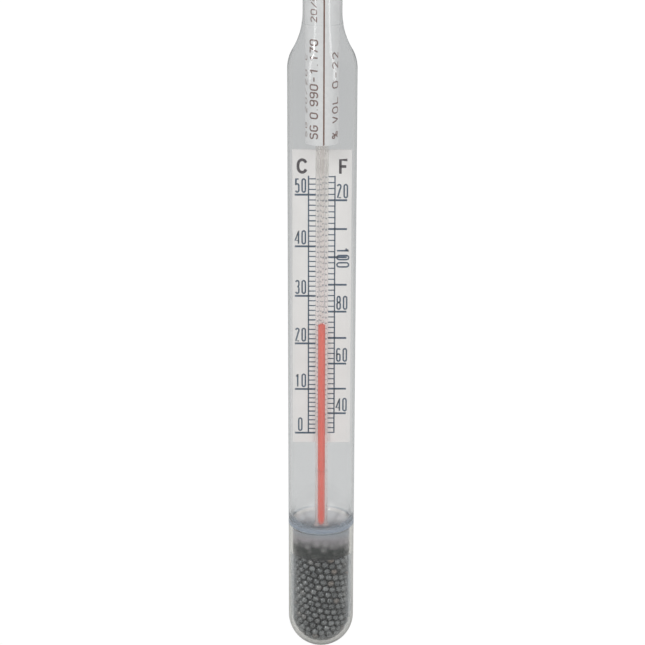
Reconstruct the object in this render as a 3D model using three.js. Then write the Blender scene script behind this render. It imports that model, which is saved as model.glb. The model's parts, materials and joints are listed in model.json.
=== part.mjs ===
// A combined brewing hydrometer and thermometer: a sealed, weighted glass float.
// Units are millimetres and +Z is up. The origin is the lowest point of the round bulb, on the axis.
// The thermometer card faces -Y.

import * as THREE from 'three';

// Glass envelope
const TOTAL_HEIGHT = 326;
const BODY_R = 10.1;
const BODY_WALL = 0.7;
const BULB_R = 10;
const BULB_WALL = 1.2;
const STEM_R = 5.7;
const STEM_WALL = 0.45;
const SHOULDER_BASE_Z = 182.3;
const SHOULDER_LOWER_ARC_R = 11;
const SHOULDER_UPPER_ARC_R = 20.8;
const WELD_Z = 195.6;

// Dished wall between the body and the ballast chamber
const PARTITION_RIM_Z = 42.2;
const PARTITION_RIM_HEIGHT = 1.2;
const PARTITION_DEPTH = 4.3;
const PARTITION_WALL = 1.1;

// Ballast
const SHOT_TOP_Z = 32;
const SEAL_THICKNESS = 0.8;
const SEAL_FILM = 0.15;
const SEAL_FILM_TOP_Z = 40;

// Rolled paper scale and its adhesive
const ROLL_R = 5.13;
const PAPER_THICKNESS = 0.12;
const ROLL_PITCH = 0.14;
const ROLL_BOTTOM_Z = 160.5;
const ROLL_TOP_Z = 317;
const ROLL_STEPS_PER_TURN = 32;
const ROLL_OVERLAP_STEPS = 4;
const SCALE_GLUE_WIDTH = 0.55;
const SCALE_GLUE_HEIGHT = 1.1;

// Thermometer glass
const CAPILLARY_R = 1.9;
const BORE_R = 0.7;
const THERMOMETER_JOINT_Z = 58;
const CAPILLARY_TOP_Z = 171;
const CHAMBER_R = 1.15;
const CHAMBER_BOTTOM_Z = 162;
const CHAMBER_TOP_Z = 169;
const FOOT_R = 2.5;
const FOOT_HEIGHT = 4;
const BORE_POINT_HEIGHT = 0.45;
const BORE_TAPER_HEIGHT = 2.4;
const FOOT_FLARE_POWER = 2;

// Spirit, drawn at its reading of about 24 degrees Celsius
const SPIRIT_R = 0.66;
const RESERVOIR_TOP_Z = 62;
const SPIRIT_POINT_GAP = 0.15;
const MENISCUS_TOP_Z = 104.9;
const MENISCUS_HEIGHT = 0.9;
const MENISCUS_DIP = 0.3;

// Thermometer card and the two dabs of adhesive that hold it
const CARD_WIDTH = 18;
const CARD_THICKNESS = 0.25;
const CARD_FRONT_Y = 2.1;
const CARD_BOTTOM_Z = 66.2;
const CARD_TOP_Z = 157.8;
const CARD_GLUE_WIDTH = 2.6;
const CARD_GLUE_DEPTH = 0.75;
const CARD_GLUE_HEIGHT = 4;
const CARD_GLUE_INSET = 3;

// Clearances and facet counts
const FUSE_GAP = 0.05;
const LOOSE_GAP = 0.05;
const ENVELOPE_SEGMENTS = 32;
const THERMOMETER_SEGMENTS = 20;
const CURVE_STEPS = 8;
const SMALL_CURVE_STEPS = 4;
const STEM_FLARE_STEPS = 3;
const GLUE_ARC_STEPS = 6;

// ---------- shapes ----------

// Points (radius, height) along an arc about a centre, from one angle to another.
// Angle 0 points outwards from the axis and 90 degrees points up.
function arc(centreR, centreZ, radius, fromDeg, toDeg, steps = CURVE_STEPS) {
  const points = [];
  for (let i = 0; i <= steps; i += 1) {
    const angle = THREE.MathUtils.degToRad(fromDeg + ((toDeg - fromDeg) * i) / steps);
    const r = Math.max(0, centreR + radius * Math.cos(angle));
    points.push([r, centreZ + radius * Math.sin(angle)]);
  }
  return points;
}

// Revolves a (radius, height) profile about +Z. A profile that doesn't end on the axis is closed.
function revolve(profile, segments = ENVELOPE_SEGMENTS) {
  const onAxis = profile[0][0] === 0 && profile[profile.length - 1][0] === 0;
  const ring = onAxis ? profile : [...profile, profile[0]];
  const geometry = new THREE.LatheGeometry(ring.map(([r, z]) => new THREE.Vector2(r, z)), segments);
  geometry.rotateX(Math.PI / 2);
  return geometry;
}

// Extrudes a closed outline in X and Y upwards from z = 0.
function extrudeUp(outline, height) {
  const shape = new THREE.Shape(outline.map(([x, y]) => new THREE.Vector2(x, y)));
  return new THREE.ExtrudeGeometry(shape, { depth: height, bevelEnabled: false });
}

// The shoulder joins the body to the stem with two tangent arcs, one convex and one concave.
const SHOULDER_ARCS_R = SHOULDER_LOWER_ARC_R + SHOULDER_UPPER_ARC_R;
const SHOULDER_ANGLE = Math.acos(1 - (BODY_R - STEM_R) / SHOULDER_ARCS_R);
const SHOULDER_TOP_Z = SHOULDER_BASE_Z + SHOULDER_ARCS_R * Math.sin(SHOULDER_ANGLE);

function envelopeRadius(z) {
  const fromBase = Math.max(0, z - SHOULDER_BASE_Z);
  const fromTop = Math.max(0, SHOULDER_TOP_Z - z);
  if (fromBase <= SHOULDER_LOWER_ARC_R * Math.sin(SHOULDER_ANGLE)) {
    return BODY_R - SHOULDER_LOWER_ARC_R + Math.sqrt(SHOULDER_LOWER_ARC_R ** 2 - fromBase ** 2);
  }
  return STEM_R + SHOULDER_UPPER_ARC_R - Math.sqrt(SHOULDER_UPPER_ARC_R ** 2 - fromTop ** 2);
}

// The wall thins evenly from the body's thickness to the stem's along the shoulder.
function envelopeWall(z) {
  const along = THREE.MathUtils.clamp((z - SHOULDER_BASE_Z) / (SHOULDER_TOP_Z - SHOULDER_BASE_Z), 0, 1);
  return THREE.MathUtils.lerp(BODY_WALL, STEM_WALL, along);
}

function envelopeProfile(heights) {
  const outside = heights.map((z) => [envelopeRadius(z), z]);
  const inside = heights.map((z) => [envelopeRadius(z) - envelopeWall(z), z]);
  return { outside, inside };
}

function spread(from, to, steps) {
  return Array.from({ length: steps + 1 }, (_, i) => from + ((to - from) * i) / steps);
}

// ---------- glass envelope ----------

function stemTube() {
  const domeZ = TOTAL_HEIGHT - STEM_R;
  const innerR = STEM_R - STEM_WALL;
  const { outside, inside } = envelopeProfile(
    spread(WELD_Z + FUSE_GAP, SHOULDER_TOP_Z, STEM_FLARE_STEPS),
  );
  return revolve([
    [0, domeZ + innerR],
    ...arc(0, domeZ, innerR, 90, 0).slice(1),
    ...inside.reverse(),
    ...outside,
    ...arc(0, domeZ, STEM_R, 0, 90).slice(0, -1),
    [0, TOTAL_HEIGHT],
  ]);
}

function bodyTube() {
  const heights = [PARTITION_RIM_Z + FUSE_GAP, ...spread(SHOULDER_BASE_Z, WELD_Z, 2 * CURVE_STEPS)];
  const { outside, inside } = envelopeProfile(heights);
  return revolve([...inside.reverse(), ...outside]);
}

// Radius of the sphere that the dish is part of.
const DISH_RIM_R = BODY_R - BODY_WALL;
const DISH_SPHERE_R = (DISH_RIM_R ** 2 + PARTITION_DEPTH ** 2) / (2 * PARTITION_DEPTH);
const DISH_FLOOR_Z = PARTITION_RIM_Z - PARTITION_DEPTH;

function ballastPartition() {
  const undersideR = BULB_R - BULB_WALL - LOOSE_GAP;
  const undersideDeg = THREE.MathUtils.radToDeg(Math.asin(undersideR / DISH_SPHERE_R));
  const rimDeg = THREE.MathUtils.radToDeg(Math.asin(DISH_RIM_R / DISH_SPHERE_R));
  const centreZ = DISH_FLOOR_Z + DISH_SPHERE_R;
  const flangeZ = PARTITION_RIM_Z - PARTITION_RIM_HEIGHT;
  return revolve([
    [0, DISH_FLOOR_Z - PARTITION_WALL],
    ...arc(0, centreZ - PARTITION_WALL, DISH_SPHERE_R, -90, undersideDeg - 90).slice(1),
    [undersideR, flangeZ],
    [BODY_R, flangeZ],
    [BODY_R, PARTITION_RIM_Z],
    ...arc(0, centreZ, DISH_SPHERE_R, rimDeg - 90, -90).slice(0, -1),
    [0, DISH_FLOOR_Z],
  ]);
}

function ballastBulb() {
  const innerR = BULB_R - BULB_WALL;
  const topZ = PARTITION_RIM_Z - PARTITION_RIM_HEIGHT - FUSE_GAP;
  return revolve([
    [0, 0],
    ...arc(0, BULB_R, BULB_R, -90, 0).slice(1),
    [BULB_R, topZ],
    [innerR, topZ],
    ...arc(0, BULB_R, innerR, 0, -90).slice(0, -1),
    [0, BULB_WALL],
  ]);
}

// ---------- ballast ----------

function shotBallast() {
  const r = BULB_R - BULB_WALL - LOOSE_GAP;
  return revolve([
    [0, BULB_R - r],
    ...arc(0, BULB_R, r, -90, 0).slice(1),
    [r, SHOT_TOP_Z],
    [0, SHOT_TOP_Z],
  ]);
}

// A skin over the shot that creeps up the wall of the chamber as a thin film.
function ballastSeal() {
  const r = BULB_R - BULB_WALL - LOOSE_GAP;
  const baseZ = SHOT_TOP_Z + LOOSE_GAP;
  return revolve([
    [0, baseZ],
    [r, baseZ],
    [r, SEAL_FILM_TOP_Z],
    [r - SEAL_FILM, SEAL_FILM_TOP_Z],
    [r - SEAL_FILM, baseZ + SEAL_THICKNESS],
    [0, baseZ + SEAL_THICKNESS],
  ]);
}

// ---------- rolled paper scale ----------

// One sheet rolled into a tube with its overlap at the back, so its outline is a spiral strip.
function scalePaper() {
  const steps = ROLL_STEPS_PER_TURN + ROLL_OVERLAP_STEPS;
  const startAngle = Math.PI / 2 - (Math.PI * ROLL_OVERLAP_STEPS) / ROLL_STEPS_PER_TURN;
  const side = (inset) => spread(0, steps, steps).map((step) => {
    const turns = step / ROLL_STEPS_PER_TURN;
    const r = ROLL_R - inset - ROLL_PITCH * turns;
    const angle = startAngle + 2 * Math.PI * turns;
    return [r * Math.cos(angle), r * Math.sin(angle)];
  });
  return extrudeUp([...side(0), ...side(PAPER_THICKNESS).reverse()], ROLL_TOP_Z - ROLL_BOTTOM_Z);
}

// A bead that bonds the top edge of the roll to the inside of the stem.
function scaleGlue() {
  const r = STEM_R - STEM_WALL - LOOSE_GAP;
  const baseZ = ROLL_TOP_Z + LOOSE_GAP;
  return revolve([
    [r - SCALE_GLUE_WIDTH, baseZ],
    [r, baseZ],
    [r, baseZ + SCALE_GLUE_HEIGHT],
  ]);
}

// ---------- thermometer ----------

// The capillary with the expansion chamber blown in its closed upper end.
function capillaryTube() {
  const taper = CHAMBER_R - BORE_R;
  const bottomZ = THERMOMETER_JOINT_Z + FUSE_GAP;
  return revolve([
    [0, CHAMBER_TOP_Z],
    ...arc(0, CHAMBER_TOP_Z - CHAMBER_R, CHAMBER_R, 90, 0, SMALL_CURVE_STEPS).slice(1),
    [CHAMBER_R, CHAMBER_BOTTOM_Z + taper],
    [BORE_R, CHAMBER_BOTTOM_Z],
    [BORE_R, bottomZ],
    [CAPILLARY_R, bottomZ],
    ...arc(0, CAPILLARY_TOP_Z - CAPILLARY_R, CAPILLARY_R, 0, 90, SMALL_CURVE_STEPS).slice(0, -1),
    [0, CAPILLARY_TOP_Z],
  ], THERMOMETER_SEGMENTS);
}

const FOOT_Z = DISH_FLOOR_Z + FUSE_GAP;
const BORE_POINT_Z = FOOT_Z + BORE_POINT_HEIGHT;

// The lower length of the thermometer: its foot flares onto the dish and its bore ends in a point.
function thermometerBulb() {
  const flare = spread(0, 1, SMALL_CURVE_STEPS).map((t) => [
    CAPILLARY_R + (FOOT_R - CAPILLARY_R) * (1 - t) ** FOOT_FLARE_POWER,
    FOOT_Z + FOOT_HEIGHT * t,
  ]);
  const dishRise = DISH_SPHERE_R - Math.sqrt(DISH_SPHERE_R ** 2 - FOOT_R ** 2);
  flare[0][1] += dishRise;
  return revolve([
    [0, FOOT_Z],
    ...flare,
    [CAPILLARY_R, THERMOMETER_JOINT_Z],
    [BORE_R, THERMOMETER_JOINT_Z],
    [BORE_R, BORE_POINT_Z + BORE_TAPER_HEIGHT],
    [0, BORE_POINT_Z],
  ], THERMOMETER_SEGMENTS);
}

function spiritReservoir() {
  return revolve([
    [0, BORE_POINT_Z + SPIRIT_POINT_GAP],
    [SPIRIT_R, BORE_POINT_Z + BORE_TAPER_HEIGHT],
    [SPIRIT_R, RESERVOIR_TOP_Z],
    [0, RESERVOIR_TOP_Z],
  ], THERMOMETER_SEGMENTS);
}

function spiritColumn() {
  const bottomZ = RESERVOIR_TOP_Z + FUSE_GAP;
  const topZ = MENISCUS_TOP_Z - MENISCUS_HEIGHT - FUSE_GAP;
  return revolve([
    [0, bottomZ],
    [SPIRIT_R, bottomZ],
    [SPIRIT_R, topZ],
    [0, topZ],
  ], THERMOMETER_SEGMENTS);
}

// The curved top of the spirit: it wets the glass, so it is lowest on the axis.
function spiritMeniscus() {
  const baseZ = MENISCUS_TOP_Z - MENISCUS_HEIGHT;
  const dipR = (SPIRIT_R ** 2 + MENISCUS_DIP ** 2) / (2 * MENISCUS_DIP);
  const dipDeg = THREE.MathUtils.radToDeg(Math.asin(SPIRIT_R / dipR));
  const centreZ = MENISCUS_TOP_Z - MENISCUS_DIP + dipR;
  return revolve([
    [0, baseZ],
    [SPIRIT_R, baseZ],
    ...arc(0, centreZ, dipR, dipDeg - 90, -90, SMALL_CURVE_STEPS).slice(0, -1),
    [0, MENISCUS_TOP_Z - MENISCUS_DIP],
  ], THERMOMETER_SEGMENTS);
}

function thermometerCard() {
  return new THREE.BoxGeometry(CARD_WIDTH, CARD_THICKNESS, CARD_TOP_Z - CARD_BOTTOM_Z);
}

// A dab that fills the space between the round tube and the flat card.
function cardGlue() {
  const backY = CARD_FRONT_Y - LOOSE_GAP;
  const r = CAPILLARY_R + LOOSE_GAP;
  const halfAngle = Math.asin(CARD_GLUE_WIDTH / 2 / r);
  const tubeSide = spread(-halfAngle, halfAngle, GLUE_ARC_STEPS).map((a) => [
    r * Math.sin(a),
    r * Math.cos(a),
  ]);
  return extrudeUp([
    ...tubeSide,
    [CARD_GLUE_WIDTH / 2, backY],
    [-CARD_GLUE_WIDTH / 2, backY],
  ], CARD_GLUE_HEIGHT);
}

// ---------- materials ----------

function material(color, roughness, metalness = 0, opacity = 1) {
  return new THREE.MeshStandardMaterial({
    color, roughness, metalness, opacity, transparent: opacity < 1,
  });
}

const materials = {
  glass: () => material(0xc4c9ca, 0.05, 0, 0.35),
  thermometerGlass: () => material(0xd8cfcb, 0.08, 0, 0.5),
  paper: () => material(0xd4d4d5, 0.85),
  card: () => material(0xd9d6d2, 0.7),
  spirit: () => material(0xcf6b62, 0.3),
  steelShot: () => material(0x6d6e6f, 0.35, 0.9),
  seal: () => material(0x9aa0a6, 0.5, 0, 0.6),
  adhesive: () => material(0xd6c9a4, 0.5, 0, 0.7),
};

// ---------- assembly ----------

function piece(name, geometry, makeMaterial, position = [0, 0, 0]) {
  const mesh = new THREE.Mesh(geometry, makeMaterial());
  mesh.name = name;
  mesh.position.set(...position);
  return mesh;
}

function groupOf(...pieces) {
  const group = new THREE.Group();
  group.add(...pieces);
  return group;
}

const envelope = groupOf(
  piece('stem_tube', stemTube(), materials.glass),
  piece('body_tube', bodyTube(), materials.glass),
  piece('ballast_partition', ballastPartition(), materials.glass),
  piece('ballast_bulb', ballastBulb(), materials.glass),
);

const ballast = groupOf(
  piece('steel_shot', shotBallast(), materials.steelShot),
  piece('ballast_seal', ballastSeal(), materials.seal),
);

const hydrometerScale = groupOf(
  piece('scale_roll', scalePaper(), materials.paper, [0, 0, ROLL_BOTTOM_Z]),
  piece('scale_glue', scaleGlue(), materials.adhesive),
);

const cardCentre = [0, CARD_FRONT_Y + CARD_THICKNESS / 2, (CARD_BOTTOM_Z + CARD_TOP_Z) / 2];
const upperGlueZ = CARD_TOP_Z - CARD_GLUE_INSET - CARD_GLUE_HEIGHT;
const lowerGlueZ = CARD_BOTTOM_Z + CARD_GLUE_INSET;
const thermometer = groupOf(
  piece('thermometer_card', thermometerCard(), materials.card, cardCentre),
  piece('card_glue_upper', cardGlue(), materials.adhesive, [0, 0, upperGlueZ]),
  piece('card_glue_lower', cardGlue(), materials.adhesive, [0, 0, lowerGlueZ]),
  piece('capillary_tube', capillaryTube(), materials.thermometerGlass),
  piece('thermometer_bulb', thermometerBulb(), materials.thermometerGlass),
  piece('spirit_reservoir', spiritReservoir(), materials.spirit),
  piece('spirit_column', spiritColumn(), materials.spirit),
  piece('spirit_meniscus', spiritMeniscus(), materials.spirit),
);

const hydrometer = groupOf(envelope, ballast, hydrometerScale, thermometer);

export default hydrometer;
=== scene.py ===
"""A combined brewing hydrometer and thermometer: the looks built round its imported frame.

Lengths are metres. The glass, papers, spirit and shot are made here; their places come from the frame.
"""
import json
import math

import bmesh
import bpy
import numpy as np
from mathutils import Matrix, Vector


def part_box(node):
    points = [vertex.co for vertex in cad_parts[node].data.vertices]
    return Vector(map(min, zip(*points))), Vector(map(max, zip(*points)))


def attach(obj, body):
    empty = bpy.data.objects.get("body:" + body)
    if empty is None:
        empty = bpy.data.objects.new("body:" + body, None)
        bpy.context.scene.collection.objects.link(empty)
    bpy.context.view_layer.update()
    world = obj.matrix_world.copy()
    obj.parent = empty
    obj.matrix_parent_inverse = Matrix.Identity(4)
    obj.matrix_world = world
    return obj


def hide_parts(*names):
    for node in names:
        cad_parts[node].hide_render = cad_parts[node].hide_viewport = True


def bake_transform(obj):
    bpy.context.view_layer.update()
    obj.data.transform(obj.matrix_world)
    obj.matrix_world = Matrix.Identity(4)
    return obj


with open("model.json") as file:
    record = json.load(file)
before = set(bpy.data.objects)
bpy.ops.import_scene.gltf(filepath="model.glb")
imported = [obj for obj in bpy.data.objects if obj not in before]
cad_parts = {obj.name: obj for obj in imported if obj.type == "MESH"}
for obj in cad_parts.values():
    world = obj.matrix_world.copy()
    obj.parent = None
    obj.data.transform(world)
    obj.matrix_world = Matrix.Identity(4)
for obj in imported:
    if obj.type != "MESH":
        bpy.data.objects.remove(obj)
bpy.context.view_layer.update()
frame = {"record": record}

MM = 0.001
FLOAT = "float"
SPIRIT_TOP = "spirit_top"

# ---------- places and sizes from the frame ----------

_, BULB_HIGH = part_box("ballast_bulb")
_, BODY_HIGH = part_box("body_tube")
_, STEM_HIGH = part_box("stem_tube")
_, PARTITION_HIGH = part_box("ballast_partition")
_, SHOT_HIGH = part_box("steel_shot")
_, SEAL_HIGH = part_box("ballast_seal")
ROLL_LOW, ROLL_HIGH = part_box("scale_roll")
ROLL_GLUE_LOW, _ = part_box("scale_glue")
CARD_LOW, CARD_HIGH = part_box("thermometer_card")
CAPILLARY_LOW, CAPILLARY_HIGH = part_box("capillary_tube")
FOOT_LOW, FOOT_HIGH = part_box("thermometer_bulb")
_, RESERVOIR_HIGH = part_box("spirit_reservoir")
MENISCUS_LOW, MENISCUS_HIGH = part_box("spirit_meniscus")

# ---------- driving dimensions of the looks ----------

# Glass envelope
BODY_WALL = 0.7 * MM
BULB_WALL = 1.2 * MM
STEM_R = 5.7 * MM
STEM_WALL = 0.45 * MM
BODY_TAPER = 0.07 * MM           # the tube is this much wider at its shoulder and narrower at its foot
SHOULDER_LENGTH = 13.3 * MM      # from the start of the shoulder up to the weld
SHOULDER_LOWER_ARC_R = 11 * MM
SHOULDER_UPPER_ARC_R = 20.8 * MM
WELD_SWELL = 0.05 * MM
WELD_WIDTH = 0.5 * MM
FUSE_GAP = 0.02 * MM             # between two pieces of glass that are fused together
DISH_DEPTH = 4.3 * MM
PARTITION_WALL = 1.1 * MM
FLANGE_HEIGHT = 1.2 * MM
FILLET_TOP = 7 * MM              # the fillet joins the wall this far above the dish's floor
DISH_SQUARENESS = 2.05           # 2 is an ellipse, and more is flatter in the middle
DISH_CLEAR_R = 7.5 * MM          # the dish's underside is clear within this radius
DRAW_LINES = 0.0006 * MM         # depth of the lines that drawing leaves in glass
FINE_DRAW_LINES = 0.00001 * MM
DRAWN_GRAIN = (1, 1, 0.06)       # stretches those lines upwards
SIDE_LEAN = 0.06                 # clouded zones and painted shade stand this much lower a metre to the right

# Shot
SHOT_DIAMETER = 2.15 * MM
SHOT_SPREAD = 0.07 * MM          # standard deviation of the diameters
SHOT_PACKING = 0.66              # share of the chamber that the balls are to fill
SHOT_CLEARANCE = 0.15 * MM       # between the balls and the chamber's wall
SHOT_PROUD = 0.7 * MM            # how far a ball may stand above the level of the heap
SHOT_SEED = 7
RUST_MOST = 0.6                  # share of brown in the most browned ball
RUST_RARITY = 30                 # the higher this is, the fewer balls are browned
SETTLE_STEPS = 400
SETTLE_SEARCH = 4                # steps from one search for neighbours to the next
SETTLE_REACH = 0.4 * SHOT_DIAMETER    # balls with less than this between them are neighbours
SETTLE_PASSES = 5                # times in each step that overlapping balls push apart
SETTLE_PUSH = 0.45               # share of an overlap by which each ball moves
SETTLE_FALL = 0.03 * MM          # drop in each step
SETTLE_SPREAD = 0.002            # share of its distance from the axis that a ball drifts out in each step
SETTLE_STOP = 0.93               # share of the steps after which the balls only push apart
SETTLE_SLOWING = 0.35            # share of the steps over which the drop dies away before that

# Resin over the shot
PLUG_DROP = 1.2 * MM             # from the level of the heap down to the resin between the top balls
PLUG_CLIMB = 0.4 * MM            # the resin's rise towards the wall
PLUG_DEPTH = 1.5 * MM
FILM_RISE = -0.3 * MM            # from the level of the heap to the film's lower edge
FILM_THICKNESS = 0.12 * MM
FILM_EDGE = 0.3 * MM             # height of the film's slanting upper edge
FILM_FADE = 2 * MM               # the haze thickens over this height above the film's lower edge

# Papers and print
PAPER_THICKNESS = 0.12 * MM
ROLL_OVERLAP_DEG = 40
ROLL_PITCH = 1.15 * PAPER_THICKNESS    # how much nearer the axis each further turn lies
INK_GAP = 0.002 * MM
INK_THICKNESS = 0.012 * MM

# Thermometer
BORE_R = 0.7 * MM
CHAMBER_R = 1.15 * MM            # the expansion chamber at the top of the bore
CHAMBER_TOP = 2 * MM             # its top and its foot, measured down from the end of the glass
CHAMBER_FOOT = 9 * MM
CHAMBER_NECK = 1.5 * MM          # below its foot, it narrows to the bore over this height
FOOT_R = 2.5 * MM
FOOT_HEIGHT = 4 * MM
FOOT_CURVE = 1.3                 # 1 is a straight cone, and more is hollower
BORE_TAPER = 4.2 * MM            # height over which the bore narrows to its point
BORE_BLUNTNESS = 1.6             # 1 is a straight cone, and more is blunter
BORE_END = 0.25 * MM             # glass under the bore's point
SPIRIT_R = BORE_R + 0.004 * MM   # spirit wets the bore, so no air shows between them
SPIRIT_SEGMENTS = 40
MENISCUS_DIP = 0.3 * MM
ENAMEL_MILK = 0.27               # share of light that the glass's cloudy back scatters
ZERO_ABOVE_CARD = 3.08 * MM
DEGREE = 1.393 * MM              # height of a degree Celsius near the 0 mark
DEGREE_GROWTH = 0.00208 * MM     # times the square of the degrees, as spirit expands more when warm

# Camera, with its angles in degrees
CAMERA_ELEVATION = 18
CAMERA_DISTANCE = 0.6625
CAMERA_HALF_ANGLE = 8.28
CAMERA_AIM = Vector((0.00024, 0, 0.1052))
CAMERA_ROLL = 0.16
SENSOR = 36                      # Blender counts this one in millimetres


# ---------- mesh helpers ----------

def make_object(name, bm, coats, body, replaced=(), sharp_deg=40):
    """Finishes a mesh with smooth faces and sharp corners, and puts it in the scene on its body."""
    bmesh.ops.recalc_face_normals(bm, faces=bm.faces)
    for face in bm.faces:
        face.smooth = True
    for edge in bm.edges:
        edge.smooth = edge.calc_face_angle(0) < math.radians(sharp_deg)
    mesh = bpy.data.meshes.new(name)
    bm.to_mesh(mesh)
    bm.free()
    return place_mesh(name, mesh, coats, body, replaced)


def place_mesh(name, mesh, coats, body, replaced=()):
    piece = bpy.data.objects.new(name, mesh)
    bpy.context.scene.collection.objects.link(piece)
    for material in coats if isinstance(coats, tuple) else (coats,):
        mesh.materials.append(material)
    if replaced:
        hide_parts(*replaced)
    if body:
        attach(piece, body)
    return piece


OUTER, INNER, SEAM, DISH, JOINT, UNDER = 0, 1, 2, 3, 4, 5    # the coats of a piece of glass


def revolve(*runs, segments=96, coats=(OUTER, INNER, OUTER)):
    """A solid turned about +Z from runs of (radius, height) points. The bands between runs are seams."""
    bm = bmesh.new()
    rings, bands = [], []
    for run, coat in zip(runs, coats):
        bands += [coat] * (len(run) - 1) + [SEAM if len(runs) > 1 else coat]
        for radius, height in run:
            if radius <= 0:
                rings.append([bm.verts.new((0, 0, height))])
                continue
            turns = [2 * math.pi * k / segments for k in range(segments)]
            corners = [(radius * math.cos(a), radius * math.sin(a), height) for a in turns]
            rings.append([bm.verts.new(corner) for corner in corners])
    followers = rings[1:] + (rings[:1] if len(rings[0]) > 1 else [])
    for ring, other, band in zip(rings, followers, bands):
        for k in range(segments):
            j = k + 1
            corners = [ring[k % len(ring)], ring[j % segments % len(ring)]]
            corners += [other[j % segments % len(other)], other[k % len(other)]]
            bm.faces.new(list(dict.fromkeys(corners))).material_index = band
    return bm


def skin(bm, rows):
    """Joins each closed row of corners to the next one."""
    for row, other in zip(rows, rows[1:]):
        for k in range(len(row)):
            j = (k + 1) % len(row)
            bm.faces.new([row[k], row[j], other[j], other[k]])


def recoat(bm, coat, other, chosen):
    """Gives another coat to the faces of one coat whose middles are chosen."""
    for face in bm.faces:
        if face.material_index == coat and chosen(face.calc_center_median()):
            face.material_index = other


def spread(low, high, steps):
    return [low + (high - low) * k / steps for k in range(steps + 1)]


def arc(centre_r, centre_z, radius, start_deg, end_deg, steps=16):
    """(radius, height) points along an arc. Angle 0 points outwards and 90 degrees points up."""
    angles = [math.radians(a) for a in spread(start_deg, end_deg, steps)]
    return [(max(0.0, centre_r + radius * math.cos(a)), centre_z + radius * math.sin(a)) for a in angles]


# ---------- the glass envelope's outline ----------

RIM_Z = PARTITION_HIGH.z
FILM_Z = SHOT_HIGH.z + FILM_RISE
BODY_R = BODY_HIGH.x
BULB_R = BULB_HIGH.x
BULB_INNER_R = BULB_R - BULB_WALL
WELD_Z = BODY_HIGH.z
SHOULDER_Z = WELD_Z - SHOULDER_LENGTH
SHOULDER_ARCS_R = SHOULDER_LOWER_ARC_R + SHOULDER_UPPER_ARC_R
SHOULDER_ANGLE = math.acos(1 - (BODY_R + BODY_TAPER - STEM_R) / SHOULDER_ARCS_R)
SHOULDER_TOP_Z = SHOULDER_Z + SHOULDER_ARCS_R * math.sin(SHOULDER_ANGLE)
DISH_RIM_R = BODY_R - BODY_TAPER - BODY_WALL
DISH_SPHERE_R = (DISH_RIM_R ** 2 + DISH_DEPTH ** 2) / (2 * DISH_DEPTH)
DISH_FLOOR_Z = RIM_Z - DISH_DEPTH


def body_radius(z):
    """Outer radius of the glass: the tapered body, two tangent arcs of shoulder, and the stem."""
    if z >= SHOULDER_TOP_Z:
        return STEM_R
    if z > SHOULDER_Z + SHOULDER_LOWER_ARC_R * math.sin(SHOULDER_ANGLE):
        drop = SHOULDER_TOP_Z - z
        return STEM_R + SHOULDER_UPPER_ARC_R - math.sqrt(SHOULDER_UPPER_ARC_R ** 2 - drop ** 2)
    if z > SHOULDER_Z:
        rise = z - SHOULDER_Z
        arc_r = SHOULDER_LOWER_ARC_R
        return BODY_R + BODY_TAPER - arc_r + math.sqrt(arc_r ** 2 - rise ** 2)
    along = (z - RIM_Z) / (SHOULDER_Z - RIM_Z)
    return BODY_R + BODY_TAPER * (2 * along - 1)


def envelope_radius(z):
    """The outline with the slight swelling that fusing leaves at the stem's weld."""
    swell = WELD_SWELL * math.exp(-((z - WELD_Z) / WELD_WIDTH) ** 2)
    return body_radius(z) + swell


def envelope_wall(z):
    along = (z - SHOULDER_Z) / (SHOULDER_TOP_Z - SHOULDER_Z)
    along = min(1.0, max(0.0, along))
    return BODY_WALL + (STEM_WALL - BODY_WALL) * along


def wall_profile(heights):
    outside = [(envelope_radius(z), z) for z in heights]
    inside = [(envelope_radius(z) - envelope_wall(z), z) for z in reversed(heights)]
    return outside, inside


def displaced_volume():
    """Heights and the outer volume of the float below each, which places the hydrometer's marks."""
    heights = np.linspace(0, STEM_HIGH.z, 6001)
    radii = []
    for z in heights:
        if z < BULB_R:
            radii.append(math.sqrt(max(0.0, BULB_R ** 2 - (BULB_R - z) ** 2)))
        elif z < RIM_Z:
            radii.append(BULB_R)
        else:
            radii.append(body_radius(z))
    areas = math.pi * np.array(radii) ** 2
    slices = (areas[1:] + areas[:-1]) / 2 * np.diff(heights)
    return heights, np.concatenate([[0], np.cumsum(slices)])


# ---------- materials ----------

def new_material(name, plain):
    """A material, with plain values for some of its shader's sockets."""
    material = bpy.data.materials.new(name)
    material.use_nodes = True
    tree = material.node_tree
    shader = tree.nodes["Principled BSDF"]
    for socket, value in plain.items():
        shader.inputs[socket].default_value = value
    return material, tree, shader


def add_node(tree, kind, **settings):
    node = tree.nodes.new(kind)
    for key, value in settings.items():
        if key in node.inputs:
            node.inputs[key].default_value = value
        else:
            setattr(node, key, value)
    return node


def noise(tree, scale, detail=2.0, stretch=(1, 1, 1)):
    """Noise in the object's own coordinates. Scale counts its waves in a metre."""
    coords = add_node(tree, "ShaderNodeTexCoord")
    mapping = add_node(tree, "ShaderNodeMapping")
    mapping.inputs["Scale"].default_value = stretch
    texture = add_node(tree, "ShaderNodeTexNoise", Scale=scale, Detail=detail)
    tree.links.new(coords.outputs["Object"], mapping.inputs["Vector"])
    tree.links.new(mapping.outputs["Vector"], texture.inputs["Vector"])
    return texture.outputs["Fac"]


def ramp(tree, source, low, high, start=0.3, end=0.7):
    """A colour between low and high as source goes from start to end."""
    node = add_node(tree, "ShaderNodeValToRGB")
    node.color_ramp.elements[0].position = start
    node.color_ramp.elements[1].position = end
    node.color_ramp.elements[0].color = (*low, 1)
    node.color_ramp.elements[1].color = (*high, 1)
    tree.links.new(source, node.inputs["Fac"])
    return node.outputs["Color"]


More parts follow.
